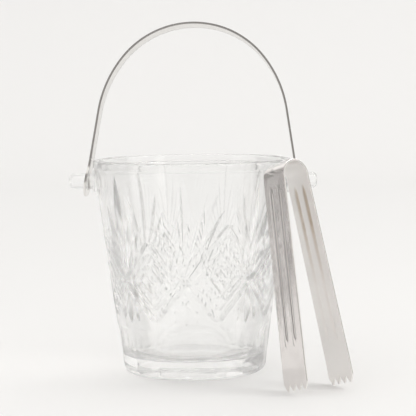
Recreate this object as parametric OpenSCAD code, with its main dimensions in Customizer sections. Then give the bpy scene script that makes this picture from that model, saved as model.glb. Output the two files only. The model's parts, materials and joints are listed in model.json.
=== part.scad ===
// Table ice bucket: a tapered glass vessel with two side lugs, a flat strip
// handle that swings on the lugs, and sprung ice tongs that stand against the rim.
// X runs along the lugs, +Y is the back, +Z is up, and the origin is the centre
// of the vessel's underside.

/* [Vessel] */
// Height of the glass from the table to the rim
vessel_h = 145; // [110:1:180]
// Outer diameter at the rim
rim_d = 135; // [110:1:165]
// Outer diameter just above the rounded heel
base_d = 98.4; // [80:0.2:118]
// Thickness of the glass at the rim
rim_wall = 4; // [3:0.1:6]
// Thickness of the glass low down, beside the floor
low_wall = 6; // [4:0.1:8]
// Thickness of the glass floor
floor_t = 12; // [8:0.5:16]
// Radius of the rounded heel under the wall
heel_r = 5.5; // [3:0.1:7]
// Height of the plain band under the rim
band_h = 5.5; // [3:0.1:9]
// How far the plain band stands out past the cut wall
band_step = 0.5; // [0.2:0.1:1]
// Radius of the corner between the inner floor and the wall
inner_corner_r = 9; // [5:0.5:12]

/* [Lugs] */
// How far the lugs' axis lies below the rim
lug_drop = 15; // [12:0.5:40]
// Diameter of each lug where the handle hangs
lug_d = 10.8; // [8:0.2:14]
// Diameter of the boss at the root of each lug
boss_d = 17; // [15:0.5:22]
// How far the boss stands out of the wall
boss_out = 2.2; // [1:0.1:3]
// Length of the lug outside the handle's ring
lug_past_ring = 13; // [6:0.5:16]
// Rounding of the lug's end
lug_end_r = 3.4; // [1:0.1:3.8]

/* [Handle] */
// Height of the arch above the lugs' axis
arch_h = 109; // [95:1:135]
// Width of the steel strip
strip_w = 12; // [8:0.5:16]
// Thickness of the steel strip
strip_t = 1.4; // [1:0.1:2]
// Bend radius of the arch's shoulders
shoulder_r = 80; // [60:1:95]
// How far from upright the top arc reaches, in degrees
top_arc = 51; // [40:1:58]
// How far the straight arms splay from upright, in degrees
arm_splay = 8.7; // [5:0.1:12]
// Outer diameter of the pierced ring at each end
ring_d = 21; // [18:0.5:26]
// Loose gap all round between the ring's hole and the lug
ring_play = 0.95; // [0.5:0.05:1.6]
// Gap between the boss and the nearest edge of the ring
ring_off_boss = 1.8; // [0.5:0.1:3]
// How far the handle leans back where it is built, in degrees
handle_lean = 12; // [0:1:30]

/* [Tongs] */
// Width of the tongs' strip at the bow
tongs_w = 22; // [16:0.5:28]
// Width of the tongs' strip above the teeth
tip_w = 24.2; // [17:0.1:30]
// Thickness of the tongs' strip
tongs_t = 1.2; // [0.8:0.1:2]
// Outer radius of the bow
bow_r = 10; // [8:0.5:14]
// Length of each arm from the centre of the bow to the points of its teeth
arm_l = 137.8; // [110:0.2:166]
// How far each arm splays from the middle, in degrees
arm_open = 4; // [2:0.1:6]
// Number of teeth on each arm
teeth = 4; // [3:1:6]
// Length of each tooth
tooth_l = 4.6; // [3:0.1:6]
// Width of each pressed rib
rib_w = 4; // [2.5:0.1:5]
// How far a rib stands out of the strip
rib_out = 0.7; // [0.4:0.1:1]
// Spacing of the two ribs on each arm
rib_gap = 8.6; // [6:0.1:12]
// Plain length between the bow and the ribs
rib_top = 6; // [6:0.5:20]
// Plain length between the ribs and the points of the teeth
rib_end = 27; // [18:0.5:34]
// Slit between the bow and each arm, where the strip flexes
flex_slit = 0.2; // [0.1:0.05:0.4]

/* [Where the tongs stand] */
// Direction of the tongs from the vessel's middle, in degrees
tongs_bearing = -36.5; // [-60:0.5:-25]
// Turn of the tongs about the upright, in degrees
tongs_turn = 39.5; // [30:0.5:55]
// Lean of the tongs towards the vessel, in degrees
tongs_lean = 14.4; // [8:0.1:20]
// Gap between the rim and the nearest edge of the bow
rim_gap = 0.5; // [0.4:0.1:3]

/* [Hidden] */
$fn = 96;

glass_tint = [0.90, 0.94, 0.95, 0.45];
steel_tint = [0.74, 0.74, 0.73];

rim_r = rim_d / 2;
base_r = base_d / 2;

// Height up the wall at which the heel's curve has run out
heel_top = heel_r;
// Rate at which the wall spreads with height
wall_slope = (rim_r - band_step - base_r - 0.6) / (vessel_h - band_h - 2 * heel_top);
// Outer radius of the cut wall at height z
function wall_r(z) = base_r + 0.6 + (z - 2 * heel_top) * wall_slope;

// Inner radius at the rim and beside the floor
mouth_r = rim_r - rim_wall;
well_z = floor_t + inner_corner_r;
well_r = wall_r(well_z) - low_wall;

// Rounding of the rim's two edges
lip_r = rim_wall * 0.4;

// Outline points of a quarter turn or part turn about c, from angle a to angle b
function arc_points(c, r, a, b, steps = 8) =
    [for (i = [0 : steps]) let (t = a + (b - a) * i / steps) c + r * [cos(t), sin(t)]];

// Places of the lug axis and along it
lug_z = vessel_h - lug_drop;
lug_wall_x = wall_r(lug_z);
boss_x = lug_wall_x + boss_out;
ring_reach = ring_d / 2 * sin(arm_splay) + strip_t / 2 * cos(arm_splay);
ring_x = boss_x + ring_off_boss + ring_reach;
lug_tip_x = ring_x + lug_past_ring;
// The lug starts inside the wall and never reaches the inner face
lug_root_x = lug_wall_x - rim_wall * 0.45;
hole_r = lug_d / 2 + ring_play;

// Radius of the arch's top arc that joins the shoulders to a span of two ring_x
side_arc = 90 - arm_splay;
arm_share = tan(arm_splay);
top_r = (ring_x - shoulder_r * (sin(side_arc) - sin(top_arc))
        - (arch_h - shoulder_r * (cos(top_arc) - cos(side_arc))) * arm_share)
        / (sin(top_arc) - (1 - cos(top_arc)) * arm_share);
top_c = [0, arch_h - top_r];
shoulder_c = top_c + (top_r - shoulder_r) * [sin(top_arc), cos(top_arc)];

// Tongs: how far the bow's nearest point, on its back edge, reaches towards the vessel
slant = tongs_turn - tongs_bearing;
edge_reach = tongs_w / 2 * cos(tongs_lean) * sin(slant);
round_reach = bow_r * norm([cos(slant), sin(slant) * sin(tongs_lean)]);
// Height of the bow's centre that sets the back teeth on the table
tooth_pitch = tip_w / teeth;
back_tooth = tip_w / 2 - tooth_pitch / 2;
arm_drop = arm_l * cos(arm_open) - (bow_r - tongs_t) * sin(arm_open);
bow_z = back_tooth * sin(tongs_lean) + arm_drop * cos(tongs_lean);
// A bow that is higher than the rim hangs over it, and the arms rest there instead
overhang = max(0, bow_z - vessel_h) * tan(tongs_lean);
bow_dist = rim_r + rim_gap + edge_reach + round_reach - overhang;
bow_x = bow_dist * cos(tongs_bearing);
bow_y = bow_dist * sin(tongs_bearing);

// ---- glass vessel ----

// Half outline of the glass: up the outside, over the rim and down the inside
module vessel_outline() {
    cut_r = rim_r - band_step;
    polygon(concat(
        [[0, 0]],
        arc_points([base_r - heel_r, heel_r], heel_r, -90, 0),
        [[wall_r(2 * heel_top), 2 * heel_top]],
        [[cut_r, vessel_h - band_h]],
        [[rim_r, vessel_h - band_h + band_step]],
        arc_points([rim_r - lip_r, vessel_h - lip_r], lip_r, 0, 90),
        arc_points([mouth_r + lip_r, vessel_h - lip_r], lip_r, 90, 180),
        arc_points([well_r - inner_corner_r, well_z], inner_corner_r, 0, -90),
        [[0, floor_t]]
    ));
}

// One lug along +X with its root boss and rounded end
module lug() {
    translate([0, 0, lug_z])
        rotate([0, 90, 0])
            rotate_extrude()
                polygon(concat(
                    [[0, lug_root_x]],
                    [[boss_d / 2, lug_root_x]],
                    arc_points([boss_d / 2 - 1, boss_x - 1], 1, 0, 90, 4),
                    [[lug_d / 2, boss_x]],
                    arc_points([lug_d / 2 - lug_end_r, lug_tip_x - lug_end_r], lug_end_r, 0, 90),
                    [[0, lug_tip_x]]
                ));
}

module glass_bucket() {
    color(glass_tint) {
        rotate_extrude()
            vessel_outline();
        lug();
        mirror([1, 0, 0])
            lug();
    }
}

// ---- carrying handle ----

// Middle line of half the arch, from its top down to the lug axis
function half_arch(shift) = concat(
    arc_points(top_c, top_r + shift, 90, 90 - top_arc, 16),
    arc_points(shoulder_c, shoulder_r + shift, 90 - top_arc, 90 - side_arc, 12));

// Point on the straight arm at the lug axis, shifted across the strip
function arm_foot(shift) = [ring_x, 0] + shift * [cos(arm_splay), sin(arm_splay)];

module arch_half() {
    outer = concat(half_arch(strip_t / 2), [arm_foot(strip_t / 2)]);
    inner = concat(half_arch(-strip_t / 2), [arm_foot(-strip_t / 2)]);
    backwards = [for (i = [len(inner) - 1 : -1 : 0]) inner[i]];
    polygon(concat(outer, backwards));
}

// The strip stops on the lug axis, and the ring's disc carries on round the lug
module handle_side() {
    rotate([90, 0, 0])
        linear_extrude(strip_w, center = true)
            arch_half();
    translate([ring_x, 0, 0])
        rotate([0, 90 + arm_splay, 0])
            cylinder(d = ring_d, h = strip_t, center = true);
}

module carry_handle() {
    color(steel_tint)
        translate([0, 0, lug_z])
            rotate([-handle_lean, 0, 0])
                difference() {
                    union() {
                        handle_side();
                        mirror([1, 0, 0])
                            handle_side();
                    }
                    rotate([0, 90, 0])
                        cylinder(r = hole_r, h = 3 * rim_d, center = true);
                }
}

// ---- ice tongs ----

// Puts a piece drawn about the bow's centre where the tongs stand
module stand_tongs() {
    translate([bow_x, bow_y, bow_z])
        rotate([0, 0, tongs_turn])
            rotate([-tongs_lean, 0, 0])
                children();
}

// Bow: the bent middle of the strip, open downwards
module tongs_bow() {
    color(steel_tint)
        stand_tongs()
            rotate([90, 0, 0])
                linear_extrude(tongs_w, center = true)
                    polygon(concat(
                        arc_points([0, 0], bow_r, arm_open, 180 - arm_open, 24),
                        arc_points([0, 0], bow_r - tongs_t, 180 - arm_open, arm_open, 24)
                    ));
}

// Flat outline of one arm: down from the bow, then across the teeth
module arm_outline() {
    shank = arm_l - tooth_l;
    first = [-tip_w / 2, -shank];
    polygon(concat(
        [[tongs_w / 2, -flex_slit], [-tongs_w / 2, -flex_slit], first],
        [for (i = [0 : teeth - 1])
            for (p = [[0.5, -tooth_l], [1, 0]])
                first + [(i + p[0]) * tooth_pitch, p[1]]]
    ));
}

// One pressed rib along the arm, standing out of its outer face
module rib() {
    rib_r = (rib_w * rib_w / 4 + rib_out * rib_out) / (2 * rib_out);
    rib_l = arm_l - rib_top - rib_end;
    translate([0, -rib_top, 0])
        rotate([90, 0, 0])
            linear_extrude(rib_l)
                intersection() {
                    translate([0, rib_out - rib_r])
                        circle(rib_r);
                    translate([-rib_w, -tongs_t / 2])
                        square([2 * rib_w, tongs_t]);
                }
}

// The arm on the +X side of the bow, its outer face touching the bow's outer circle
module tongs_arm() {
    rotate([0, -arm_open, 0])
        translate([bow_r, 0, 0])
            rotate([90, 0, 90]) {
                translate([0, 0, -tongs_t])
                    linear_extrude(tongs_t)
                        arm_outline();
                for (side = [-1, 1])
                    translate([side * rib_gap / 2, 0, 0])
                        rib();
            }
}

module tongs_right_arm() {
    color(steel_tint)
        stand_tongs()
            tongs_arm();
}

module tongs_left_arm() {
    color(steel_tint)
        stand_tongs()
            mirror([1, 0, 0])
                tongs_arm();
}

glass_bucket();
carry_handle();
tongs_bow();
tongs_left_arm();
tongs_right_arm();
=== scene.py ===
"""Cut glass ice bucket with a strip handle and ice tongs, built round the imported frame.

Sizes are in metres and angles in degrees. X runs along the lugs, +Y is the back, +Z is up,
and the origin is the centre of the glass vessel's underside.
"""

import json
import logging
import math
from dataclasses import dataclass
from enum import Enum
from typing import Callable, Iterator, Optional, Sequence, Union

import bpy
from mathutils import Matrix, Vector


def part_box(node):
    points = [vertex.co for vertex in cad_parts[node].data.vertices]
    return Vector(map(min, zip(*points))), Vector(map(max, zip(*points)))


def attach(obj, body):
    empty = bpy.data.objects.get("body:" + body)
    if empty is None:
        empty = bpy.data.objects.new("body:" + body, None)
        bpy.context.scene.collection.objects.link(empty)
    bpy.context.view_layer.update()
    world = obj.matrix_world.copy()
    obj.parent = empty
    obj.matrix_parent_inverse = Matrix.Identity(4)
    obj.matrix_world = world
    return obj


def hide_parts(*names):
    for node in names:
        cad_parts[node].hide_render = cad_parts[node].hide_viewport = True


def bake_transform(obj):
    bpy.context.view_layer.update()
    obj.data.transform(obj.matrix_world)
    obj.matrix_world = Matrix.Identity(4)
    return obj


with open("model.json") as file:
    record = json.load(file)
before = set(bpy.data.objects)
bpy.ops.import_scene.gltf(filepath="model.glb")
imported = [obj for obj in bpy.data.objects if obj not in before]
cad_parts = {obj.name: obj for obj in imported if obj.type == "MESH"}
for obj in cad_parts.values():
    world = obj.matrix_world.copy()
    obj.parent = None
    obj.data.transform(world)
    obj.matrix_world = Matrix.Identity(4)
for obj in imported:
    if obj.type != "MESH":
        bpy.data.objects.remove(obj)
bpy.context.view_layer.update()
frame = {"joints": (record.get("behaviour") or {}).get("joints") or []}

log = logging.getLogger("ice_bucket")
Point = tuple[float, float]
Span = tuple[float, float]
Colour = tuple[float, float, float, float]
FULL_TURN = 2 * math.pi
RING_FROM_TIP = 0.013
SHARP_EDGE = 50.0
STRIP_SMOOTH = 35.0


# ---------------------------------------------------------------- modelling helpers


def deselect_all() -> None:
    """Leave object mode with nothing selected."""
    if bpy.context.object and bpy.context.object.mode != "OBJECT":
        bpy.ops.object.mode_set(mode="OBJECT")
    bpy.ops.object.select_all(action="DESELECT")


def activate(obj: bpy.types.Object) -> bpy.types.Object:
    """Select one object alone and make it active.

    Args:
        obj: The object.

    Returns:
        The same object.
    """
    deselect_all()
    obj.select_set(True)
    bpy.context.view_layer.objects.active = obj
    return obj


def edit_all(obj: bpy.types.Object) -> None:
    """Open an object in edit mode with its whole mesh selected.

    Args:
        obj: The object.
    """
    activate(obj)
    bpy.ops.object.mode_set(mode="EDIT")
    bpy.ops.mesh.select_all(action="SELECT")


def leave_edit() -> None:
    """Go back to object mode."""
    bpy.ops.object.mode_set(mode="OBJECT")


def apply_place(obj: bpy.types.Object) -> bpy.types.Object:
    """Move an object's place, turn and size into its mesh.

    Args:
        obj: The object.

    Returns:
        The same object, at the origin.
    """
    activate(obj)
    bpy.ops.object.transform_apply(location=True, rotation=True, scale=True)
    return obj


def apply_modifier(obj: bpy.types.Object, kind: str, **settings: object) -> None:
    """Add one modifier with its settings and apply it.

    Args:
        obj: The mesh object that is changed.
        kind: The modifier's type, such as BEVEL.
        settings: Values of the modifier's properties.
    """
    activate(obj)
    modifier = obj.modifiers.new(kind.title(), kind)
    for name, value in settings.items():
        setattr(modifier, name, value)
    bpy.ops.object.modifier_apply(modifier=modifier.name)


def round_edges(obj: bpy.types.Object, width: float) -> None:
    """Round the sharp edges of a strip."""
    angle = math.radians(SHARP_EDGE)
    apply_modifier(obj, "BEVEL", width=width, segments=2, limit_method="ANGLE", angle_limit=angle)


def tidy_mesh(obj: bpy.types.Object, distance: float = 1e-6) -> None:
    """Merge doubled points and turn all faces outwards.

    Args:
        obj: The mesh object.
        distance: Points closer than this are merged.
    """
    edit_all(obj)
    bpy.ops.mesh.remove_doubles(threshold=distance)
    bpy.ops.mesh.normals_make_consistent(inside=False)
    leave_edit()


def join(objects: Sequence[bpy.types.Object], name: str) -> bpy.types.Object:
    """Join several mesh objects into one.

    Args:
        objects: The objects, the first of which stays.
        name: The joined object's name.

    Returns:
        The joined object.
    """
    deselect_all()
    for obj in objects:
        obj.select_set(True)
    bpy.context.view_layer.objects.active = objects[0]
    bpy.ops.object.join()
    objects[0].name = name
    return objects[0]


def boolean(target: bpy.types.Object, tool: bpy.types.Object, operation: str) -> None:
    """Cut, keep or add a closed tool on a closed target, and remove the tool.

    Args:
        target: The mesh that is changed.
        tool: The mesh that is used up.
        operation: DIFFERENCE, INTERSECT or UNION.
    """
    apply_modifier(target, "BOOLEAN", object=tool, operation=operation, solver="MANIFOLD")
    bpy.data.objects.remove(tool, do_unlink=True)


def copy_piece(source: bpy.types.Object, name: str, place: Matrix) -> bpy.types.Object:
    """Copy a piece with a mesh of its own.

    Args:
        source: The piece to copy.
        name: The copy's name.
        place: Where the copy's mesh goes.

    Returns:
        The copy.
    """
    copy = source.copy()
    copy.data = source.data.copy()
    copy.data.transform(place)
    copy.name = name
    bpy.context.collection.objects.link(copy)
    return copy


def smooth(obj: bpy.types.Object, degrees: float) -> None:
    """Shade smooth across edges that turn less than an angle."""
    activate(obj)
    bpy.ops.object.shade_smooth_by_angle(angle=math.radians(degrees))


def wear(obj: bpy.types.Object, material: bpy.types.Material) -> None:
    """Give a piece one material alone.

    Args:
        obj: The piece.
        material: Its finish.
    """
    obj.data.materials.clear()
    obj.data.materials.append(material)


def chain(points: Sequence[Point], name: str) -> bpy.types.Object:
    """Draw a line of edges in the XZ plane by extruding one point along it.

    Args:
        points: Pairs of distance from the axis and height.
        name: The object's name.

    Returns:
        The line of edges.
    """
    deselect_all()
    bpy.ops.mesh.primitive_plane_add(size=0.001, location=(0, 0, 0))
    obj = bpy.context.object
    obj.name = name
    edit_all(obj)
    bpy.ops.mesh.merge(type="CENTER")
    here = Vector((points[0][0], 0, points[0][1]))
    bpy.ops.transform.translate(value=here)
    for r, z in points[1:]:
        there = Vector((r, 0, z))
        bpy.ops.mesh.extrude_vertices_move(TRANSFORM_OT_translate={"value": there - here})
        here = there
    leave_edit()
    return obj


def lathe(points: Sequence[Point], steps: int, name: str) -> bpy.types.Object:
    """Spin an outline about the Z axis into a closed body.

    Args:
        points: Pairs of distance from the axis and height, both ends on the axis.
        steps: Number of steps in the full turn.
        name: The object's name.

    Returns:
        The closed body, with its faces outwards.
    """
    obj = chain(points, name)
    edit_all(obj)
    bpy.ops.mesh.spin(steps=steps, angle=FULL_TURN, center=(0, 0, 0), axis=(0, 0, 1))
    leave_edit()
    tidy_mesh(obj)
    return obj


def arc(centre: Point, r: float, start: float, end: float, steps: int) -> list[Point]:
    """Give the points of an arc in an outline.

    Args:
        centre: The arc's centre.
        r: Its radius.
        start: The first angle.
        end: The last angle.
        steps: How many steps the arc has.

    Returns:
        The points, both ends included.
    """
    turns = [math.radians(start + (end - start) * i / steps) for i in range(steps + 1)]
    return [(centre[0] + r * math.cos(t), centre[1] + r * math.sin(t)) for t in turns]


def line(a: Point, b: Point, steps: int) -> list[Point]:
    """Give the points of a straight stretch of an outline, without its first point."""
    shares = [i / steps for i in range(1, steps + 1)]
    return [(a[0] + (b[0] - a[0]) * share, a[1] + (b[1] - a[1]) * share) for share in shares]


def clamp(value: float) -> float:
    """Keep a share between 0 and 1."""
    return min(1.0, max(0.0, value))


def reshape(obj: bpy.types.Object, rule: Callable[[Vector], Vector]) -> None:
    """Move every point of a mesh by a rule.

    Args:
        obj: The mesh object.
        rule: It takes a point's place and gives its new one.
    """
    for vertex in obj.data.vertices:
        vertex.co = rule(vertex.co)
    obj.data.update()


def joint_place(name: str) -> Vector:
    """Give a place on a joint's axis, from the frame."""
    return next(Vector(joint["pos_m"]) for joint in frame["joints"] if joint["name"] == name)


# ---------------------------------------------------------------- glass vessel


class Cut(Enum):
    """How a cut narrows towards its ends."""

    LEAF = "leaf"
    GROOVE = "groove"


@dataclass(frozen=True)
class Spot:
    """A place on the unrolled wall: across in degrees round the glass, and up in metres."""

    turn: float
    up: float


@dataclass(frozen=True)
class CutSize:
    """How wide and deep a cut is at its middle, and how many steps its cutter has."""

    width: float
    depth: float
    steps: int


@dataclass(frozen=True)
class Stroke:
    """One cut of the pattern, between two places on the unrolled wall."""

    start: Spot
    end: Spot
    size: CutSize
    cut: Cut

    def on_side(self, side: int) -> "Stroke":
        """Give the stroke on the right (1), as drawn, or mirrored to the left (-1)."""
        start, end = Spot(side * self.start.turn, self.start.up), Spot(side * self.end.turn, self.end.up)
        return Stroke(start, end, self.size, self.cut)


@dataclass(frozen=True)
class PressedPattern:
    """The strokes of one repeat: a fan of leaves, and the diamond half a repeat past it."""

    repeats: int = 8
    node_up: float = 0.0665
    diamond_top: float = 0.094
    diamond_low: float = 0.040
    band: CutSize = CutSize(0.0044, 0.0015, 40)
    side_leaves: tuple[Stroke, ...] = (
        Stroke(Spot(2.6, 0.0755), Spot(12.9, 0.1165), CutSize(0.0052, 0.0017, 28), Cut.LEAF),
        Stroke(Spot(4.2, 0.0735), Spot(17.6, 0.1040), CutSize(0.0042, 0.0017, 28), Cut.LEAF),
        Stroke(Spot(6.6, 0.0490), Spot(8.2, 0.0395), CutSize(0.0034, 0.0009, 12), Cut.LEAF),
    )
    middle_leaves: tuple[Stroke, ...] = (
        Stroke(Spot(0, 0.0745), Spot(0, 0.1370), CutSize(0.0064, 0.0021, 36), Cut.LEAF),
        Stroke(Spot(0, 0.0600), Spot(0, 0.0375), CutSize(0.0058, 0.0019, 24), Cut.LEAF),
    )
    outer_ring: CutSize = CutSize(0.0030, 0.0009, 24)
    outer_share: float = 0.72
    inner_ring: CutSize = CutSize(0.0028, 0.0008, 24)
    inner_share: float = 0.42
    bar: CutSize = CutSize(0.0020, 0.0006, 6)
    bar_shares: Span = (0.74, 0.32)
    star: CutSize = CutSize(0.0030, 0.0009, 10)
    star_reach: Span = (0.20, 0.17)

    @property
    def half_turn(self) -> float:
        """Half of one repeat, in degrees."""
        return 180 / self.repeats

    def in_diamond(self, u: float, v: float, share: float) -> Spot:
        """Give a place inside the diamond.

        Args:
            u: Across, from -1 at the left corner to 1 at the right one.
            v: Up, from -1 at the lowest corner to 1 at the highest one.
            share: How far out from the diamond's centre the place is moved.

        Returns:
            The place on the unrolled wall.
        """
        half = self.half_turn
        middle, tall = (self.diamond_top + self.diamond_low) / 2, (self.diamond_top - self.diamond_low) / 2
        return Spot(half + (half * u) * share, middle + (tall * v) * share)

    def fan(self) -> Iterator[Stroke]:
        """Give the strokes of the fan.

        Yields:
            Its bands and leaves on both sides, then the two leaves in its middle.
        """
        node = Spot(0, self.node_up)
        for side in (-1, 1):
            for corner_up in (self.diamond_top, self.diamond_low):
                yield Stroke(node, Spot(side * self.half_turn, corner_up), self.band, Cut.GROOVE)
            for leaf in self.side_leaves:
                yield leaf.on_side(side)
        yield from self.middle_leaves

    def diamond(self) -> Iterator[Stroke]:
        """Give the strokes of the diamond.

        Yields:
            Its nested rings, the short bars between them, and the star in its middle.
        """
        corners = ((0, 1), (1, 0), (0, -1), (-1, 0))
        rings = ((self.outer_share, self.outer_ring), (self.inner_share, self.inner_ring))
        for share, size in rings:
            for i, corner in enumerate(corners):
                after = corners[(i + 1) % len(corners)]
                start, end = self.in_diamond(*corner, share), self.in_diamond(*after, share)
                yield Stroke(start, end, size, Cut.GROOVE)
        for u in (-0.5, 0.5):
            for v in (-0.5, 0.5):
                start, end = (self.in_diamond(u, v, share) for share in self.bar_shares)
                yield Stroke(start, end, self.bar, Cut.GROOVE)
        wide, tall = self.star_reach
        yield Stroke(self.in_diamond(0, -tall, 1), self.in_diamond(0, tall, 1), self.star, Cut.LEAF)
        yield Stroke(self.in_diamond(-wide, 0, 1), self.in_diamond(wide, 0, 1), self.star, Cut.LEAF)


@dataclass
class GlassVessel:
    """The tapered vessel: a turned body, its pressed pattern and its two lugs."""

    height: float
    rim_r: float
    lug_tip: float
    lug_up: float
    pattern: PressedPattern = PressedPattern()
    base_r: float = 0.0492
    rim_wall: float = 0.004
    low_wall: float = 0.006
    floor_t: float = 0.012
    heel_r: float = 0.0055
    heel_flare: float = 0.0006
    kick_up: float = 0.0008
    underside: tuple[Point, ...] = ((0.0, 1.0), (0.020, 1.0), (0.034, 0.9), (0.038, 0.3), (0.040, 0.0))
    band_h: float = 0.0055
    band_step: float = 0.0005
    lip_share: float = 0.4
    corner_r: float = 0.009
    boss_r: float = 0.0085
    boss_out: float = 0.0022
    lug_r: float = 0.0054
    lug_end_r: float = 0.0034
    lug_soft: float = 0.0010
    lug_sunk: float = 0.0022
    unrolled_r: float = 0.058
    leaf_rise: float = 0.7
    groove_rise: float = 0.4
    groove_overrun: float = 0.3
    groove_taper: float = 0.9
    flats: tuple[Point, ...] = (
        (-0.002, 0.0001), (0.028, 0.0001), (0.033, 0.0006), (0.036, 0.0016), (0.038, 0.0030))
    flats_clear_up: float = 0.07
    spare: float = 0.01
    steps: int = 256
    lug_steps: int = 96
    facet_angle: float = 12.0

    def wall_r(self, z: float) -> float:
        """Give the outer radius of the wall.

        Args:
            z: A height.

        Returns:
            The radius at that height.
        """
        foot, foot_r = 2 * self.heel_r, self.base_r + self.heel_flare
        slope = (self.rim_r - self.band_step - foot_r) / (self.height - self.band_h - foot)
        return foot_r + (z - foot) * slope

    def outline(self) -> list[Point]:
        """Draw half the section of the plain glass.

        Returns:
            The points from the axis below, round the rim, to the axis on the floor.
        """
        foot = 2 * self.heel_r
        band_z = self.height - self.band_h
        lip = self.rim_wall * self.lip_share
        lip_z = self.height - lip
        mouth = self.rim_r - self.rim_wall
        well_z = self.floor_t + self.corner_r
        well_r = self.wall_r(well_z) - self.low_wall
        points = [(r, self.kick_up * share) for r, share in self.underside]
        points += arc((self.base_r - self.heel_r, self.heel_r), self.heel_r, -90, 0, 10)
        points += line(points[-1], (self.wall_r(foot), foot), 3)
        points += line(points[-1], (self.rim_r - self.band_step, band_z), 40)
        points += [(self.rim_r, band_z + self.band_step)]
        points += line(points[-1], (self.rim_r, lip_z), 3)
        points += arc((self.rim_r - lip, lip_z), lip, 0, 90, 6)[1:]
        points += arc((mouth + lip, lip_z), lip, 90, 180, 6)
        points += line(points[-1], (well_r, well_z), 30)
        points += arc((well_r - self.corner_r, well_z), self.corner_r, 0, -90, 10)[1:]
        points += line(points[-1], (0.0, self.floor_t), 6)
        return points

    def on_wall(self, flat: Vector) -> Vector:
        """Wrap a point of the unrolled pattern round the wall.

        Args:
            flat: Across, out and up.

        Returns:
            The point's place on the glass.
        """
        turn = flat.x / self.unrolled_r
        r = self.wall_r(flat.z) + flat.y
        return Vector((r * math.sin(turn), -r * math.cos(turn), flat.z))

    def cutter(self, stroke: Stroke) -> bpy.types.Object:
        """Make the V-edged cutter of one stroke, from a ball with four sides.

        Args:
            stroke: The cut.

        Returns:
            The cutter, still unrolled.
        """
        deselect_all()
        bpy.ops.mesh.primitive_uv_sphere_add(segments=4, ring_count=stroke.size.steps, radius=1)
        tool = bpy.context.object
        leaf = stroke.cut is Cut.LEAF
        width, depth = stroke.size.width, stroke.size.depth
        to_m = math.radians(1) * self.unrolled_r
        start = Vector((stroke.start.turn * to_m, 0, stroke.start.up))
        end = Vector((stroke.end.turn * to_m, 0, stroke.end.up))
        middle = (start + end) / 2
        half = (end - start).length / 2
        ahead = (end - start).normalized()
        aside = Vector((ahead.z, 0, -ahead.x))
        rise = self.leaf_rise if leaf else self.groove_rise
        deep = depth / (1 - rise)
        wide = width / 2 * deep / depth
        reach = half / math.sqrt(1 - rise * rise) if leaf else half + width * self.groove_overrun
        end_share = min(0.5, width * self.groove_taper / reach)

        def place(v: Vector) -> Vector:
            """Stretch the ball into the cutter and lay it on the unrolled wall.

            Args:
                v: A point of the ball.

            Returns:
                The point's place across, out and up.
            """
            ring = math.sqrt(max(0.0, 1 - v.z * v.z))
            step = 1 - 2 * math.acos(max(-1.0, min(1.0, v.z))) / math.pi
            size = math.sqrt(max(0.0, 1 - step * step)) if leaf else min(1.0, (1 - abs(step)) / end_share)
            x, y = (v.x / ring, v.y / ring) if ring > 1e-6 else (0.0, 0.0)
            point = middle + ahead * (step * reach) + aside * (x * wide * size)
            point.y = rise * deep + y * deep * size
            return point

        reshape(tool, place)
        return tool

    def repeat_tool(self) -> bpy.types.Object:
        """Join the cutters of one repeat, wrapped round the wall.

        Returns:
            One closed tool.
        """
        tools = []
        for stroke in [*self.pattern.fan(), *self.pattern.diamond()]:
            tool = self.cutter(stroke)
            reshape(tool, self.on_wall)
            tidy_mesh(tool)
            tools.append(tool)
        whole = tools.pop(0)
        for tool in tools:
            boolean(whole, tool, "UNION")
        whole.name = "pattern_tool"
        return whole

    def flats_tool(self) -> bpy.types.Object:
        """Make the many-sided barrel whose sides leave the flats round the foot of the wall.

        Returns:
            The barrel, which keeps what is inside it.
        """
        clear_r, over = self.rim_r + self.spare, self.height + self.spare
        points = [(0.0, self.flats[0][0])]
        points += [(self.wall_r(up) + gap, up) for up, gap in self.flats]
        points += [(clear_r, self.flats_clear_up), (clear_r, over), (0.0, over)]
        return lathe(points, 2 * self.pattern.repeats, "flats_tool")

    def lug(self, side: int) -> bpy.types.Object:
        """Make one lug with its boss and rounded end.

        Args:
            side: -1 on the left and 1 on the right.

        Returns:
            The lug, sunk a little into the wall.
        """
        root = self.wall_r(self.lug_up) - self.lug_sunk
        face = self.wall_r(self.lug_up) + self.boss_out
        soft, end_r = self.lug_soft, self.lug_end_r
        points = [(0.0, root), (self.boss_r, root)]
        points += arc((self.boss_r - soft, face - soft), soft, 0, 90, 8)
        points += arc((self.lug_r + soft, face + soft), soft, 270, 180, 8)
        points += arc((self.lug_r - end_r, self.lug_tip - end_r), end_r, 0, 90, 12)
        points += [(0.0, self.lug_tip)]
        lug = lathe(points, self.lug_steps, "lug")
        reshape(lug, lambda v: Vector((side * v.z, side * v.y, self.lug_up - v.x)))
        return lug

    def press(self, glass: bpy.types.Object) -> None:
        """Cut the pattern all round, every other repeat at a time, so that no two cutters meet.

        Args:
            glass: The plain glass, which is cut.
        """
        tool = self.repeat_tool()
        for first in (0, 1):
            copies = []
            for i in range(first, self.pattern.repeats, 2):
                turn = Matrix.Rotation(math.radians(2 * self.pattern.half_turn * i), 4, "Z")
                copies.append(copy_piece(tool, "pattern_copy", turn))
            boolean(glass, join(copies, "pattern_ring"), "DIFFERENCE")
        bpy.data.objects.remove(tool, do_unlink=True)

    def dress(self, glass: bpy.types.Object) -> None:
        """Make the glass clear, with no shadow of its own."""
        wear(glass, ClearGlass().material())
        glass.visible_shadow = False

    def build(self) -> bpy.types.Object:
        """Turn, cut and dress the vessel.

        Returns:
            The finished glass.
        """
        glass = lathe(self.outline(), self.steps, "glass_vessel")
        boolean(glass, self.flats_tool(), "INTERSECT")
        self.press(glass)
        for side in (-1, 1):
            boolean(glass, self.lug(side), "UNION")
        smooth(glass, self.facet_angle)
        self.dress(glass)
        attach(glass, "bucket")
        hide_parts("glass_bucket")
        return glass


# ---------------------------------------------------------------- steel strip


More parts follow.
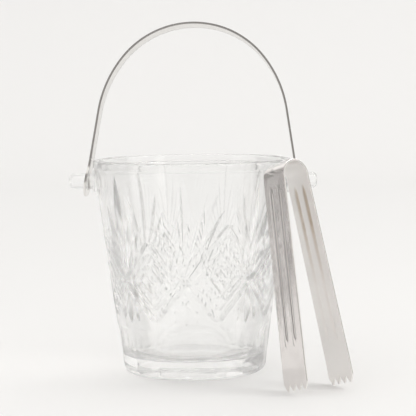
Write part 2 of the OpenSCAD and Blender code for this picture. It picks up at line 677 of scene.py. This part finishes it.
def flat_strip(places: Sequence[float], halves: Sequence[float], rows: int, name: str) -> bpy.types.Object:
    """Lay out a flat strip of many small faces, with a width of its own at each place.

    Args:
        places: Distance along the strip of each column of points.
        halves: Half the strip's width at each column.
        rows: Number of rows of faces across it.
        name: The object's name.

    Returns:
        The flat strip, along X and across Y, with a map of its own surface in metres.
    """
    deselect_all()
    columns = len(places) - 1
    bpy.ops.mesh.primitive_grid_add(x_subdivisions=columns, y_subdivisions=rows, size=2)
    strip = bpy.context.object
    strip.name = name

    def place(v: Vector) -> Vector:
        """Put one point of the square grid on the strip."""
        i = round((v.x + 1) / 2 * columns)
        return Vector((places[i], v.y * halves[i], 0))

    reshape(strip, place)
    chart = strip.data.uv_layers.active.data
    for loop in strip.data.loops:
        point = strip.data.vertices[loop.vertex_index].co
        chart[loop.index].uv = (point.x, point.y)
    return strip


@dataclass
class CarryHandle:
    """The strip handle: two straight arms, an arch of three arcs and a pierced ring on each lug."""

    lug_up: float
    ring_x: float
    arch: float = 0.109
    strip_w: float = 0.012
    strip_t: float = 0.0014
    shoulder_r: float = 0.080
    top_arc: float = 51.0
    splay: float = 8.7
    ring_r: float = 0.0105
    hole_r: float = 0.00635
    lean: float = 12.0
    neck: float = 0.013
    swell: float = 0.0065
    edge_r: float = 0.0003
    rows: int = 6
    arm_columns: int = 76
    neck_columns: int = 12
    ring_columns: int = 36
    hole_sides: int = 72

    @property
    def top_turn(self) -> float:
        """Angle of the top arc's end from upright, in radians."""
        return math.radians(self.top_arc)

    @property
    def side_turn(self) -> float:
        """Angle of the shoulder's end from upright, in radians."""
        return math.radians(90 - self.splay)

    @property
    def top_r(self) -> float:
        """Radius of the arc over the top, which joins the shoulders to the lugs.

        Returns:
            The radius.
        """
        top, side = self.top_turn, self.side_turn
        share = math.tan(math.radians(self.splay))
        span = self.ring_x - self.shoulder_r * (math.sin(side) - math.sin(top))
        drop = (self.arch - self.shoulder_r * (math.cos(top) - math.cos(side))) * share
        return (span - drop) / (math.sin(top) - (1 - math.cos(top)) * share)

    def bent(self, s: float, out: float) -> Point:
        """Follow half the arch from its top.

        Args:
            s: Distance along the arch.
            out: Distance outwards from its middle line.

        Returns:
            The place across and above the lugs' axis.
        """
        top, side = self.top_turn, self.side_turn
        top_len, shoulder_len = self.top_r * top, self.shoulder_r * (side - top)
        if s < top_len:
            a = s / self.top_r
            r = self.top_r + out
            return r * math.sin(a), self.arch - self.top_r + r * math.cos(a)
        inset = self.top_r - self.shoulder_r
        cx, cz = inset * math.sin(top), self.arch - self.top_r + inset * math.cos(top)
        a = min(side, top + (s - top_len) / self.shoulder_r)
        r = self.shoulder_r + out
        rest = max(0.0, s - top_len - shoulder_len)
        return cx + r * math.sin(a) + rest * math.cos(a), cz + r * math.cos(a) - rest * math.sin(a)

    @property
    def ring_s(self) -> float:
        """Distance along the arch from its top to the centre of the ring.

        Returns:
            The distance.
        """
        curved = self.top_r * self.top_turn + self.shoulder_r * (self.side_turn - self.top_turn)
        x, z = self.bent(curved, 0)
        return curved + math.hypot(self.ring_x - x, z)

    def half_outline(self) -> tuple[list[float], list[float]]:
        """Work out the strip's width from its top, through the neck, to the end of the ring.

        Returns:
            The places of the columns and the half widths there.
        """
        flat = self.strip_w / 2
        neck_s = self.ring_s - self.neck
        reach = self.neck - self.swell
        ring_half = math.sqrt(self.ring_r ** 2 - self.swell ** 2)
        rise = self.swell / ring_half
        places = [neck_s * i / self.arm_columns for i in range(self.arm_columns)]
        halves = [flat] * self.arm_columns
        for i in range(self.neck_columns):
            t = i / self.neck_columns
            curve = (ring_half - flat) * (3 * t * t - 2 * t ** 3) + rise * reach * (t ** 3 - t * t)
            places.append(neck_s + reach * t)
            halves.append(flat + curve)
        start = math.acos(self.swell / self.ring_r)
        for i in range(self.ring_columns + 1):
            turn = start + (math.pi - start) * i / self.ring_columns
            places.append(self.ring_s - self.ring_r * math.cos(turn))
            halves.append(self.ring_r * max(0.0, math.sin(turn)))
        return places, halves

    def wrap(self, flat: Vector) -> Vector:
        """Bend a point of the flat strip along the arch and lean it back.

        Args:
            flat: Along the strip from its top, across it, and out of it.

        Returns:
            The point's place on the handle.
        """
        side = 1 if flat.x >= 0 else -1
        across, above = self.bent(abs(flat.x), flat.z)
        lean = math.radians(self.lean)
        y = flat.y * math.cos(lean) + above * math.sin(lean)
        z = above * math.cos(lean) - flat.y * math.sin(lean)
        return Vector((side * across, y, self.lug_up + z))

    def pierce(self, handle: bpy.types.Object) -> None:
        """Cut the hole of each ring through the flat strip.

        Args:
            handle: The strip, which is cut.
        """
        for side in (-1, 1):
            deselect_all()
            spot = (side * self.ring_s, 0, 0)
            sides, deep = self.hole_sides, self.strip_w
            bpy.ops.mesh.primitive_cylinder_add(vertices=sides, radius=self.hole_r, depth=deep, location=spot)
            boolean(handle, apply_place(bpy.context.object), "DIFFERENCE")

    def dress(self, handle: bpy.types.Object) -> None:
        """Give the handle its satin steel."""
        wear(handle, SatinSteel("handle_satin_steel").material())

    def build(self) -> bpy.types.Object:
        """Cut the flat strip, pierce its rings, round its edges and bend it.

        Returns:
            The finished handle.
        """
        places, halves = self.half_outline()
        whole = [-s for s in reversed(places)] + places[1:]
        widths = list(reversed(halves)) + halves[1:]
        handle = flat_strip(whole, widths, self.rows, "carry_handle_strip")
        tidy_mesh(handle)
        apply_modifier(handle, "SOLIDIFY", thickness=self.strip_t, offset=0)
        self.pierce(handle)
        round_edges(handle, self.edge_r)
        reshape(handle, self.wrap)
        tidy_mesh(handle)
        smooth(handle, STRIP_SMOOTH)
        self.dress(handle)
        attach(handle, "handle")
        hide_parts("carry_handle")
        return handle


@dataclass
class IceTongs:
    """The tongs: one strip bent into a bow, with two ribbed arms that end in teeth."""

    centre: Vector
    turn: float = 39.5
    lean: float = 14.4
    bow_r: float = 0.010
    thick: float = 0.0012
    bow_w: float = 0.022
    tip_w: float = 0.0242
    arm: float = 0.1378
    open: float = 4.0
    teeth: int = 4
    tooth: float = 0.0046
    rib_w: float = 0.0040
    rib_out: float = 0.0007
    rib_gap: float = 0.0086
    rib_top: float = 0.006
    rib_end: float = 0.027
    rib_fade: float = 0.007
    rib_point: float = 0.35
    rib_round: float = 1.3
    tip_in: float = 0.0145
    tip_slope: float = 0.035
    # Painted dark reflection in the inner grooves: full near the bow, fading down the arm.
    painted_reflection_full: float = 0.4
    painted_reflection_reach: float = 0.38
    painted_reflection_gain: float = 1.25
    edge_r: float = 0.0002
    rows: int = 48
    bow_columns: int = 64
    bow_column: float = 0.00025
    past_top: float = 0.002
    arm_columns: int = 180

    @property
    def middle_r(self) -> float:
        """Radius of the middle of the strip in the bow."""
        return self.bow_r - self.thick / 2

    @property
    def quarter_turn(self) -> float:
        """Turn of the strip from the top of the bow to an arm, in radians."""
        return math.radians(90 - self.open)

    @property
    def quarter(self) -> float:
        """Length of half the bow, along the middle of the strip."""
        return self.middle_r * self.quarter_turn

    def stand(self, local: Vector) -> Vector:
        """Put a point drawn about the bow's centre where the tongs stand.

        Args:
            local: The point, with the tongs upright and square.

        Returns:
            The point's place on the standing tongs.
        """
        lean = Matrix.Rotation(math.radians(-self.lean), 3, "X")
        turn = Matrix.Rotation(math.radians(self.turn), 3, "Z")
        return self.centre + turn @ (lean @ local)

    def rib(self, along: float, across: float) -> float:
        """Work out the height of the two pressed ribs at a place on the strip.

        Args:
            along: Distance down the arm.
            across: Distance from the strip's middle line.

        Returns:
            How far the strip is pressed outwards there.
        """
        ends = min(along - self.rib_top, self.arm - self.rib_end - along) / self.rib_fade
        if ends <= 0:
            return 0.0
        grow = math.sin(min(1.0, ends) * math.pi / 2)
        half = self.rib_w / 2 * (self.rib_point + (1 - self.rib_point) * grow)
        off = abs(abs(across) - self.rib_gap / 2) / half
        if off >= 1:
            return 0.0
        return self.rib_out * grow * (1 - off * off) ** self.rib_round

    def wrap(self, flat: Vector, side: int) -> Vector:
        """Bend a point of the flat strip round the bow and down one arm.

        Args:
            flat: Along the strip from the top of the bow, across it, and out of it.
            side: The arm, -1 on the left and 1 on the right.

        Returns:
            The place of the point where the tongs stand.
        """
        a = min(flat.x / self.middle_r, self.quarter_turn)
        rest = max(0.0, flat.x - self.quarter)
        inwards = self.tip_slope * max(0.0, rest - (self.arm - self.tip_in))
        r = self.middle_r + flat.z
        x = r * math.sin(a) + rest * math.cos(a) - inwards
        z = r * math.cos(a) - rest * math.sin(a)
        return self.stand(Vector((side * x, flat.y, z)))

    def columns(self) -> tuple[list[float], list[float]]:
        """Space the columns of points, close in the bow and wider down the arm.

        Returns:
            The places of the columns and the half widths there.
        """
        whole = self.quarter + self.arm
        places = [self.bow_column * i - self.past_top for i in range(self.bow_columns + 1)]
        bow_end = places[-1]
        step = (whole - bow_end) / self.arm_columns
        places += [bow_end + step * (i + 1) for i in range(self.arm_columns)]
        halves = []
        for s in places:
            share = clamp((s - self.quarter) / (self.arm - self.tooth))
            halves.append((self.bow_w + (self.tip_w - self.bow_w) * share) / 2)
        return places, halves

    def notch(self, middle: float) -> bpy.types.Object:
        """Make the three-sided bar that cuts the gap between two teeth.

        Args:
            middle: The gap's place across the strip.

        Returns:
            The bar, with its point at the foot of the gap.
        """
        deselect_all()
        bpy.ops.mesh.primitive_cylinder_add(vertices=3, radius=1, depth=self.bow_w)
        bar = bpy.context.object
        foot = self.quarter + self.arm - self.tooth
        pitch = self.tip_w / self.teeth

        def place(v: Vector) -> Vector:
            """Put the bar's first edge at the foot of the gap, and the others past the teeth.

            Args:
                v: A point of the bar as it was added.

            Returns:
                The point's place on the flat strip.
            """
            if v.y > 0.5:
                return Vector((foot, middle, v.z))
            side = 1 if v.x > 0 else -1
            return Vector((foot + 2 * self.tooth, middle + side * pitch, v.z))

        reshape(bar, place)
        tidy_mesh(bar)
        return bar

    def mark_faces(self, half: bpy.types.Object) -> None:
        """Mark where the steel faces inwards, and where its grooves get a painted dark reflection.

        Args:
            half: The flat half, which gets the marks.
        """
        inner = half.data.attributes.new("inner_face", "FLOAT", "POINT")
        painted_reflection = half.data.attributes.new("groove_painted_reflection", "FLOAT", "POINT")
        for vertex in half.data.vertices:
            down = vertex.co.x - self.quarter
            pressed = self.rib(down, vertex.co.y)
            inside = 1.0 if vertex.co.z < pressed else 0.0
            # The groove mark is a painted dark reflection, strongest near the bow and fading down the arm.
            left_over = clamp(1 + self.painted_reflection_full - down / (self.arm * self.painted_reflection_reach))
            groove = clamp(self.painted_reflection_gain * pressed / self.rib_out)
            inner.data[vertex.index].value = inside
            painted_reflection.data[vertex.index].value = inside * left_over * groove

    def flat_half(self) -> bpy.types.Object:
        """Make half the strip, flat, pressed, toothed and with its edges rounded.

        Returns:
            The flat half, which ends square at the top of the bow.
        """
        places, halves = self.columns()
        half = flat_strip(places, halves, self.rows, "tongs_flat")
        reshape(half, lambda v: Vector((v.x, v.y, self.rib(v.x - self.quarter, v.y))))
        apply_modifier(half, "SOLIDIFY", thickness=self.thick, offset=0)
        tidy_mesh(half)
        for i in range(self.teeth + 1):
            boolean(half, self.notch(self.tip_w * (i / self.teeth - 0.5)), "DIFFERENCE")
        round_edges(half, self.edge_r)
        edit_all(half)
        bpy.ops.mesh.bisect(plane_co=(0, 0, 0), plane_no=(1, 0, 0), use_fill=True, clear_inner=True)
        leave_edit()
        self.mark_faces(half)
        return half

    def dress(self, halves: Sequence[bpy.types.Object]) -> None:
        """Give both halves the same bright steel.

        Args:
            halves: The halves.
        """
        tone, dull_tone = (0.84, 0.81, 0.795, 1.0), (0.77, 0.735, 0.72, 1.0)
        steel = SatinSteel("tongs_bright_steel", tone, dull_tone, rough=0.11, line_depth=0.0000015)
        coat = steel.material()
        for half in halves:
            wear(half, coat)

    def build(self) -> list[bpy.types.Object]:
        """Bend both halves of the strip and dress them.

        Returns:
            The left half and the right half.
        """
        left = self.flat_half()
        right = copy_piece(left, "tongs_right_half", Matrix.Identity(4))
        left.name = "tongs_left_half"
        top = self.stand(Vector((0, 0, self.middle_r)))
        for half, side, body in ((left, -1, "left_arm"), (right, 1, "right_arm")):
            reshape(half, lambda v, side=side: self.wrap(v, side))
            tidy_mesh(half)
            smooth(half, STRIP_SMOOTH)
            foot = self.stand(Vector((side * self.middle_r, 0, 0)))
            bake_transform(half)
        self.dress([left, right])
        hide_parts("tongs_left_arm")
        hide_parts("tongs_right_arm", "tongs_bow")
        return [left, right]


# ---------------------------------------------------------------- finishes


Value = Union["Shade", float, int, tuple]


class Graph:
    """One node tree, with one way to add a node to it."""

    def __init__(self, tree: bpy.types.NodeTree) -> None:
        """Take over a tree and empty it."""
        self.tree = tree
        tree.nodes.clear()

    def node(self, kind: str, settings: Optional[dict] = None,
             inputs: Optional[dict] = None) -> bpy.types.Node:
        """Add a node.

        Args:
            kind: The node's type.
            settings: Its own properties, set before its sockets.
            inputs: Values or links of its sockets, by name or number.

        Returns:
            The node.
        """
        node = self.tree.nodes.new(kind)
        for name, value in (settings or {}).items():
            setattr(node, name, value)
        for key, value in (inputs or {}).items():
            self.feed(node.inputs[key], value)
        return node

    def feed(self, socket: bpy.types.NodeSocket, value: Value) -> None:
        """Link a shade to a socket, or set a plain value on it.

        Args:
            socket: The socket that takes the value.
            value: A shade, or a number, colour or vector.
        """
        if isinstance(value, Shade):
            self.tree.links.new(value.socket, socket)
        else:
            socket.default_value = value

    def shade(self, kind: str, out: Union[str, int] = 0, settings: Optional[dict] = None,
              inputs: Optional[dict] = None) -> "Shade":
        """Add a node and wrap one of its outputs."""
        return Shade(self, self.node(kind, settings, inputs).outputs[out])

    def math(self, operation: str, *values: Value) -> "Shade":
        """Add a Math node."""
        return self.shade("ShaderNodeMath", 0, {"operation": operation}, dict(enumerate(values)))

    def mix(self, share: Value, a: Value, b: Value) -> "Shade":
        """Mix two colours."""
        sockets = {0: share, 6: a, 7: b}
        return self.shade("ShaderNodeMix", 2, {"data_type": "RGBA"}, sockets)

    def noise(self, where: Value, scale: float, detail: float = 2.0) -> "Shade":
        """Add a noise that varies from about 0.25 to 0.75."""
        sockets = {"Vector": where, "Scale": scale, "Detail": detail, "Roughness": 0.5}
        return self.shade("ShaderNodeTexNoise", "Fac", None, sockets)

    def stretch(self, where: Value, scale: tuple[float, float, float]) -> "Shade":
        """Scale a place by its three directions."""
        return self.shade("ShaderNodeMapping", 0, None, {"Vector": where, "Scale": scale})

    def parts(self, where: Value) -> list["Shade"]:
        """Take a place apart into its X, Y and Z."""
        split = self.node("ShaderNodeSeparateXYZ", None, {0: where})
        return [Shade(self, out) for out in split.outputs]

    def mark(self, name: str) -> "Shade":
        """Read a mark that is kept on the mesh's points."""
        return self.shade("ShaderNodeAttribute", "Fac", {"attribute_name": name})

    def bump(self, height: Value, distance: float, strength: float) -> "Shade":
        """Raise the surface by a height."""
        sockets = {"Strength": strength, "Distance": distance, "Height": height}
        return self.shade("ShaderNodeBump", "Normal", None, sockets)


class Shade:
    """A socket that can be used in sums."""

    def __init__(self, graph: Graph, socket: bpy.types.NodeSocket) -> None:
        """Wrap a socket of a graph."""
        self.graph = graph
        self.socket = socket

    def __add__(self, other: Value) -> "Shade":
        """Add."""
        return self.graph.math("ADD", self, other)

    def __radd__(self, other: Value) -> "Shade":
        """Add from the left."""
        return self.graph.math("ADD", other, self)

    def __sub__(self, other: Value) -> "Shade":
        """Take away."""
        return self.graph.math("SUBTRACT", self, other)

    def __rsub__(self, other: Value) -> "Shade":
        """Take away from the left."""
        return self.graph.math("SUBTRACT", other, self)

    def __mul__(self, other: Value) -> "Shade":
        """Multiply."""
        return self.graph.math("MULTIPLY", self, other)

    def __rmul__(self, other: Value) -> "Shade":
        """Multiply from the left."""
        return self.graph.math("MULTIPLY", other, self)

    def step(self, low: float, high: float) -> "Shade":
        """Rise smoothly from 0 at low to 1 at high."""
        sockets = {"Value": self, "From Min": low, "From Max": high}
        return self.graph.shade("ShaderNodeMapRange", 0, {"interpolation_type": "SMOOTHSTEP"}, sockets)


def new_material(name: str) -> tuple[bpy.types.Material, Graph]:
    """Start a material.

    Args:
        name: Its name.

    Returns:
        The material and its empty graph.
    """
    material = bpy.data.materials.new(name)
    material.use_nodes = True
    return material, Graph(material.node_tree)


@dataclass(frozen=True)
class ClearGlass:
    """Clear pressed glass with a faint ripple and a little haze where hands have held it."""

    name: str = "clear_pressed_glass"
    tint: Colour = (0.997, 1.0, 0.998, 1.0)
    hazy_tint: Colour = (0.982, 0.988, 0.985, 1.0)
    ior: float = 1.52
    ripple: float = 0.00012
    body: float = 0.77
    haze_scale: float = 55.0
    haze_edge: Span = (0.52, 0.75)
    speck_scale: float = 900.0
    speck_edge: Span = (0.70, 0.80)
    ripple_scale: float = 90.0

    def material(self) -> bpy.types.Material:
        """Make the glass.

        Returns:
            The material.
        """
        material, graph = new_material(self.name)
        where = graph.shade("ShaderNodeTexCoord", "Object")
        haze = graph.noise(where, self.haze_scale, 3.0).step(*self.haze_edge)
        speck = graph.noise(where, self.speck_scale, 1.0).step(*self.speck_edge)
        ripple = graph.noise(where, self.ripple_scale, 1.0)
        skin = graph.shade("ShaderNodeBsdfPrincipled", 0, None, {
            "Base Color": graph.mix(haze * 0.6 + speck * 0.4, self.tint, self.hazy_tint),
            "Roughness": haze * 0.012 + speck * 0.05 + 0.004,
            "IOR": self.ior,
            "Transmission Weight": 1.0,
            "Alpha": self.body,
            "Normal": graph.bump(ripple + speck * 0.15, self.ripple, 0.35),
        })
        graph.node("ShaderNodeOutputMaterial", None, {"Surface": skin})
        return material


@dataclass(frozen=True)
class SatinSteel:
    """Stainless steel, polished along the strip, with fine lines, smears and rubbed spots."""

    name: str
    tone: Colour = (0.80, 0.785, 0.765, 1.0)
    dull_tone: Colour = (0.70, 0.685, 0.665, 1.0)
    rough: float = 0.15
    line_depth: float = 0.000005
    # Inner faces are painted lighter: a painted brighter reflection. Their extra roughness is real.
    inner_painted_light_tone: Colour = (0.93, 0.905, 0.885, 1.0)
    inner_rough: float = 0.22
    # Brown of the painted dark reflection in the grooves.
    painted_reflection_tone: Colour = (0.56, 0.45, 0.33, 1.0)
    fine_lines: tuple[float, float, float] = (60.0, 9000.0, 1.0)
    broad_lines: tuple[float, float, float] = (14.0, 700.0, 1.0)
    scratches: tuple[float, float, float] = (900.0, 130.0, 1.0)
    scratch_edge: Span = (0.66, 0.70)
    smear_scale: float = 70.0
    smear_edge: Span = (0.45, 0.72)

    def material(self) -> bpy.types.Material:
        """Make the steel.

        Returns:
            The material.
        """
        material, graph = new_material(self.name)
        chart = graph.shade("ShaderNodeTexCoord", "UV")
        where = graph.shade("ShaderNodeTexCoord", "Object")
        fine = graph.noise(graph.stretch(chart, self.fine_lines), 1.0)
        broad = graph.noise(graph.stretch(chart, self.broad_lines), 1.0)
        scratch = graph.noise(graph.stretch(chart, self.scratches), 1.0, 3.0).step(*self.scratch_edge)
        smear = graph.noise(where, self.smear_scale, 3.0).step(*self.smear_edge)
        inner, painted_reflection = graph.mark("inner_face"), graph.mark("groove_painted_reflection")
        outer_tone = graph.mix(smear * 0.5 + broad * 0.3, self.tone, self.dull_tone)
        # Inner faces get the lighter tone: a painted brighter reflection.
        face_tone = graph.mix(inner, outer_tone, self.inner_painted_light_tone)
        skin = graph.shade("ShaderNodeBsdfPrincipled", 0, None, {
            # Grooves on the inner face are painted brown: a painted dark reflection.
            "Base Color": graph.mix(painted_reflection * (0.55 + smear * 0.35), face_tone, self.painted_reflection_tone),
            "Metallic": 1.0,
            "Roughness": fine * 0.06 + smear * 0.05 + scratch * 0.10 + inner * self.inner_rough + self.rough,
            "Normal": graph.bump(fine + broad * 0.6, self.line_depth, 0.5),
        })
        graph.node("ShaderNodeOutputMaterial", None, {"Surface": skin})
        return material


@dataclass(frozen=True)
class PaleBoard:
    """The matt pale board of the floor and backdrop, a little darker at the front."""

    name: str = "pale_board"
    front_tone: Colour = (0.805, 0.801, 0.795, 1.0)
    back_tone: Colour = (0.855, 0.852, 0.846, 1.0)
    rise: Span = (0.2, 2.2)
    mottle: float = 0.06

    def material(self) -> bpy.types.Material:
        """Make the board.

        Returns:
            The material.
        """
        material, graph = new_material(self.name)
        where = graph.shade("ShaderNodeTexCoord", "Object")
        depth = graph.parts(where)[1].step(*self.rise)
        share = depth * (1 - self.mottle) + graph.noise(where, 3.0) * self.mottle
        skin = graph.shade("ShaderNodeBsdfPrincipled", 0, None, {
            "Base Color": graph.mix(share, self.front_tone, self.back_tone),
            "Roughness": 0.7,
            "Specular IOR Level": 0.2,
        })
        graph.node("ShaderNodeOutputMaterial", None, {"Surface": skin})
        return material


# ---------------------------------------------------------------- studio


@dataclass(frozen=True)
class Pane:
    """A tall window: its middle across, as a direction, and its light."""

    across: float
    light: Colour


@dataclass(frozen=True)
class SoftRoom:
    """The room round the object: one view of it for mirrors, and a lighter one through glass."""

    fill: float = 1.07
    seen: Colour = (0.90, 0.893, 0.88, 1.0)
    white: Colour = (1.0, 0.99, 0.97, 1.0)
    right_wall: Colour = (0.52, 0.51, 0.50, 1.0)
    front_wall: Colour = (0.17, 0.16, 0.155, 1.0)
    left_low: Colour = (0.13, 0.12, 0.125, 1.0)
    left_high: Colour = (0.03, 0.03, 0.035, 1.0)
    air: Colour = (1.06, 1.05, 1.03, 1.0)
    air_front: Colour = (0.96, 0.95, 0.94, 1.0)
    flank: Colour = (0.63, 0.625, 0.64, 1.0)
    gleam: Colour = (2.1, 2.08, 2.03, 1.0)
    panes: tuple[Pane, ...] = (
        Pane(-0.80, (0.8, 0.788, 0.764, 1.0)), Pane(0.72, (2.2, 2.167, 2.101, 1.0)))
    streak_size: tuple[float, float, float] = (7.0, 7.0, 0.6)
    streak_edge: Span = (0.40, 0.62)

    def mirrored(self, graph: Graph, place: Sequence[Shade], streaks: Shade) -> Shade:
        """Paint the room that the steel and the glass mirror: dark on the left and in front.

        Args:
            graph: The world's graph.
            place: The direction's X, Y and Z.
            streaks: Upright streaks that break the dark walls up.

        Returns:
            The room's light.
        """
        x, y, z = place
        side = (x * -1.0).step(0.60, 0.78)
        high = side * z.step(0.04, 0.16) * (1 - z.step(0.36, 0.42))
        low = side * (1 - z.step(0.04, 0.16))
        right = x.step(0.55, 0.80) * z.step(0.02, 0.10)
        room = graph.mix(right * 0.8, self.white, self.right_wall)
        room = graph.mix(self.front(y, z) * (1 - streaks * 0.3), room, self.front_wall)
        room = graph.mix(low * (1 - streaks * 0.55), room, self.left_low)
        room = graph.mix(high * (1 - streaks * 0.45), room, self.left_high)
        tall = z.step(0.03, 0.07) * (1 - z.step(0.40, 0.46)) * (y * -1.0).step(0.05, 0.30)
        for pane in self.panes:
            near = graph.math("ABSOLUTE", x - pane.across)
            room = graph.mix((1 - near.step(0.06, 0.09)) * tall, room, pane.light)
        return room

    def front(self, y: Shade, z: Shade) -> Shade:
        """Mark the wall behind the camera."""
        return (y * -1.0).step(0.10, 0.50) * (1 - z.step(0.80, 0.97))

    def through(self, graph: Graph, place: Sequence[Shade], streaks: Shade) -> Shade:
        """Paint the room that shows through the glass: pale, with darker flanks and two gleams.

        Args:
            graph: The world's graph.
            place: The direction's X, Y and Z.
            streaks: Upright streaks that break the flanks up.

        Returns:
            The room's light.
        """
        x, y, z = place
        aside = graph.math("ABSOLUTE", x)
        flank = aside.step(0.50, 0.66) * (1 - z.step(0.45, 0.75))
        strip = aside.step(0.36, 0.42) * (1 - aside.step(0.54, 0.60))
        room = graph.mix(self.front(y, z) * 0.5, self.air, self.air_front)
        room = graph.mix(flank * (1 - streaks * 0.7), room, self.flank)
        return graph.mix(strip * (1 - z.step(0.55, 0.70)) * y.step(-0.1, 0.1), room, self.gleam)

    def build(self) -> None:
        """Put the room round the scene, with a plain pale wall where the camera looks past it."""
        world = bpy.data.worlds.new("soft_room")
        bpy.context.scene.world = world
        world.use_nodes = True
        graph = Graph(world.node_tree)
        where = graph.shade("ShaderNodeTexCoord", "Generated")
        place = graph.parts(where)
        streaks = graph.noise(graph.stretch(where, self.streak_size), 1.0, 1.0).step(*self.streak_edge)
        mirrored, through = self.mirrored(graph, place, streaks), self.through(graph, place, streaks)
        room = graph.mix(graph.shade("ShaderNodeLightPath", "Is Glossy Ray"), through, mirrored)
        light = graph.mix(graph.shade("ShaderNodeLightPath", "Is Camera Ray"), room, self.seen)
        glow = graph.shade("ShaderNodeBackground", 0, None, {"Color": light, "Strength": self.fill})
        graph.node("ShaderNodeOutputWorld", None, {"Surface": glow})


@dataclass
class Studio:
    """The pale sweep, the soft light and the camera."""

    half_width: float = 1.4
    front: float = -4.0
    flat_back: float = 0.5
    back: float = 2.6
    curve: float = 0.7
    tall: float = 3.2
    sweep_smooth: float = 30.0
    key_place: tuple[float, float, float] = (1.9, -0.25, 2.1)
    key_aim: tuple[float, float, float] = (0.0, 0.0, 0.1)
    key_size: Span = (1.2, 1.4)
    key_colour: tuple[float, float, float] = (1.0, 0.985, 0.96)
    key_power: float = 15.0
    camera_place: tuple[float, float, float] = (0.1035, -1.0750, 0.200)
    ahead: tuple[float, float, float] = (-0.08586, 0.99292, -0.08208)
    roll: float = 0.683
    lens: float = 137.0
    sensor: float = 36.0
    clip: Span = (0.05, 50.0)

    def sweep(self) -> bpy.types.Object:
        """Build the floor that curves up into the backdrop.

        Returns:
            The sweep, which isn't part of the object.
        """
        points = [(self.front, 0.0), (self.flat_back, 0.0)]
        points += arc((self.back - self.curve, self.curve), self.curve, -90, 0, 16)
        points += [(self.back, self.tall)]
        sweep = chain(points, "pale_sweep")
        edit_all(sweep)
        bpy.ops.mesh.extrude_edges_move(TRANSFORM_OT_translate={"value": (0, 2 * self.half_width, 0)})
        leave_edit()
        reshape(sweep, lambda v: Vector((v.y - self.half_width, v.x, v.z)))
        tidy_mesh(sweep)
        smooth(sweep, self.sweep_smooth)
        sweep.data.materials.append(PaleBoard().material())
        return sweep

    def key(self) -> None:
        """Hang the large soft light on the right."""
        deselect_all()
        bpy.ops.object.light_add(type="AREA", location=self.key_place)
        lamp = bpy.context.object
        lamp.name = "soft_key"
        lamp.data.shape = "RECTANGLE"
        lamp.data.size, lamp.data.size_y = self.key_size
        lamp.data.energy = self.key_power
        lamp.data.color = self.key_colour
        lamp.rotation_euler = (Vector(self.key_aim) - lamp.location).to_track_quat("-Z", "Y").to_euler()

    def camera(self) -> None:
        """Stand the camera in front."""
        deselect_all()
        bpy.ops.object.camera_add(location=self.camera_place)
        camera = bpy.context.object
        camera.name = "front_camera"
        turn = Vector(self.ahead).to_track_quat("-Z", "Y").to_matrix().to_4x4()
        tilt = Matrix.Rotation(math.radians(-self.roll), 4, "Z")
        camera.matrix_world = Matrix.Translation(self.camera_place) @ turn @ tilt
        camera.data.lens = self.lens
        camera.data.sensor_width = self.sensor
        camera.data.dof.use_dof = False
        camera.data.clip_start, camera.data.clip_end = self.clip
        bpy.context.scene.camera = camera

    def build(self) -> None:
        """Set up everything that isn't part of the object."""
        self.sweep()
        SoftRoom().build()
        self.key()
        self.camera()
        bpy.context.scene.view_settings.view_transform = "Standard"


def main() -> None:
    """Build every piece in order."""
    logging.basicConfig(level=logging.INFO, format="%(message)s")
    Studio().build()
    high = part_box("glass_bucket")[1]
    lug_up = joint_place("handle_swing").z
    glass = GlassVessel(height=high[2], rim_r=high[1], lug_tip=high[0], lug_up=lug_up).build()
    handle = CarryHandle(lug_up=lug_up, ring_x=high[0] - RING_FROM_TIP).build()
    halves = IceTongs(centre=joint_place("left_arm_squeeze")).build()
    for piece in (glass, handle, *halves):
        log.info("%s: %d faces", piece.name, len(piece.data.polygons))


if __name__ == "__main__":
    main()
